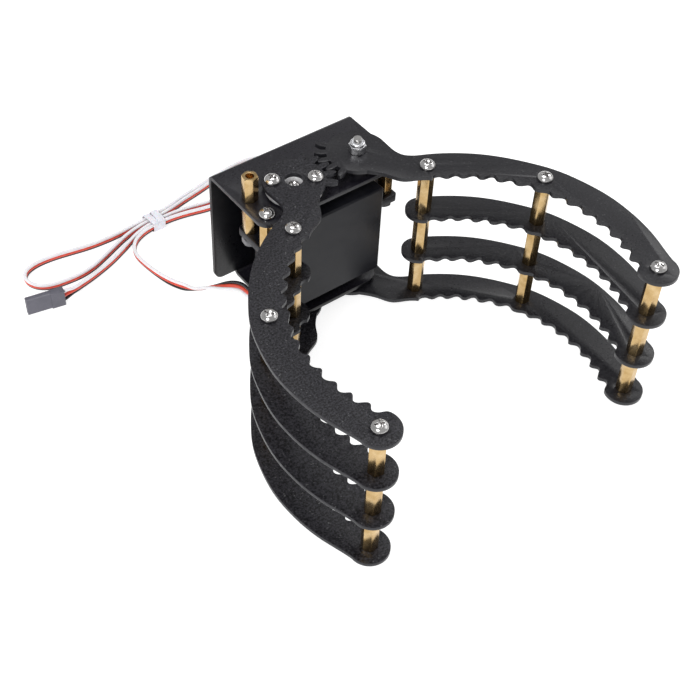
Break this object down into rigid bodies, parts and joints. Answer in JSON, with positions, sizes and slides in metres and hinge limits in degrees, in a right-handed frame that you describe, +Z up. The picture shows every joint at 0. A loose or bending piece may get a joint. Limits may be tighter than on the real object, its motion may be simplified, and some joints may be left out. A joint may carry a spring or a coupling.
{
  "type": "servo gripper claw",
  "caption": "Two curved, toothed claw jaws of stacked plates, geared together and driven by a servo in a folded sheet bracket, with its tied lead.",
  "frame": {"origin": "centre of the gripper's footprint without its lead, on the surface it lies on, below its lowest screw heads", "axes": "+Z up along the two jaw pivots, from the lowest jaw plates to the top ones; jaws point to -Y and the bracket's back wall faces +Y; +X runs from the driven left jaw to the right jaw"},
  "size_m": [0.1648, 0.1929, 0.0677],
  "materials": {
    "black_metal": "fine-textured matt black coating on 1.5 mm sheet",
    "brass": "turned hex brass, satin",
    "screw_steel": "bright nickel-plated steel",
    "nut_steel": "zinc-plated steel",
    "horn_metal": "turned aluminium",
    "gear_metal": "cut metal gears",
    "motor_can": "drawn steel can",
    "servo_plastic": "moulded dark plastic, fine grain",
    "nylon": "translucent white nylon",
    "board": "green solder mask",
    "grommet_rubber": "soft black rubber",
    "lead_insulation": "three bonded PVC-covered wires: white, red, black",
    "tie_plastic": "white plastic-covered twist tie",
    "plug_plastic": "dark grey moulded housing"
  },
  "bodies": {
    "frame": {"bracket": "black_metal", "bracket_screws": "screw_steel", "tall_standoff": "brass", "ear_standoffs": "brass", "ear_nuts": "nut_steel", "top_pivot_bolt": "screw_steel", "top_pivot_spacer": "nut_steel", "top_pivot_nut": "nut_steel", "top_pivot_nut_insert": "nylon", "bottom_pivot_bolts": "screw_steel", "bottom_pivot_washers": "nut_steel", "bottom_pivot_nuts": "nut_steel", "servo_case_bottom": "servo_plastic", "servo_case_middle": "servo_plastic", "servo_case_top": "servo_plastic", "servo_case_screws": "screw_steel", "servo_motor": "motor_can", "servo_gear_pins": "gear_metal", "servo_bearing": "gear_metal", "servo_potentiometer": "servo_plastic", "servo_circuit_board": "board", "servo_lead_grommet": "grommet_rubber", "lead_run": "lead_insulation", "lead_hank": "lead_insulation", "lead_end": "lead_insulation", "lead_tie": "tie_plastic", "lead_plug": "plug_plastic"},
    "left_jaw": {"left_jaw_plate_1": "black_metal", "left_jaw_plate_2": "black_metal", "left_jaw_plate_3": "black_metal", "left_jaw_plate_4": "black_metal", "left_jaw_standoffs": "brass", "left_jaw_screws": "screw_steel", "horn": "horn_metal", "horn_screws": "screw_steel", "horn_centre_screw": "screw_steel", "servo_output_gear": "gear_metal"},
    "right_jaw": {"right_jaw_plate_1": "black_metal", "right_jaw_plate_2": "black_metal", "right_jaw_plate_3": "black_metal", "right_jaw_plate_4": "black_metal", "right_jaw_standoffs": "brass", "right_jaw_screws": "screw_steel"},
    "servo_gear_2": {"servo_gear_2": "gear_metal"},
    "servo_gear_1": {"servo_gear_1": "gear_metal"},
    "servo_motor_shaft": {"servo_motor_shaft": "gear_metal"}
  },
  "joints": [
    {"name": "left_jaw_hinge", "type": "hinge", "parent": "frame", "child": "left_jaw", "pos_m": [-0.0135, 0.0428, 0.062], "axis": [0, 0, 1], "range_deg": [-20, 26]},
    {"name": "right_jaw_hinge", "type": "hinge", "parent": "frame", "child": "right_jaw", "pos_m": [0.0135, 0.0428, 0.062], "axis": [0, 0, 1], "range_deg": [-26, 20]},
    {"name": "servo_gear_2_spin", "type": "hinge", "parent": "frame", "child": "servo_gear_2", "pos_m": [-0.0037, 0.0448, 0.062], "axis": [0, 0, 1], "range_deg": [-83, 64]},
    {"name": "servo_gear_1_spin", "type": "hinge", "parent": "frame", "child": "servo_gear_1", "pos_m": [0.0016, 0.0394, 0.062], "axis": [0, 0, 1], "range_deg": [-205, 266]},
    {"name": "servo_motor_spin", "type": "hinge", "parent": "frame", "child": "servo_motor_shaft", "pos_m": [0.0064, 0.0428, 0.062], "axis": [0, 0, 1], "range_deg": [-940, 723]}
  ],
  "couplings": [
    {"joint": "right_jaw_hinge", "follows": "left_jaw_hinge", "ratio": -1},
    {"joint": "servo_gear_2_spin", "follows": "left_jaw_hinge", "ratio": -3.1667},
    {"joint": "servo_gear_1_spin", "follows": "left_jaw_hinge", "ratio": 10.204},
    {"joint": "servo_motor_spin", "follows": "left_jaw_hinge", "ratio": -36.105}
  ]
}
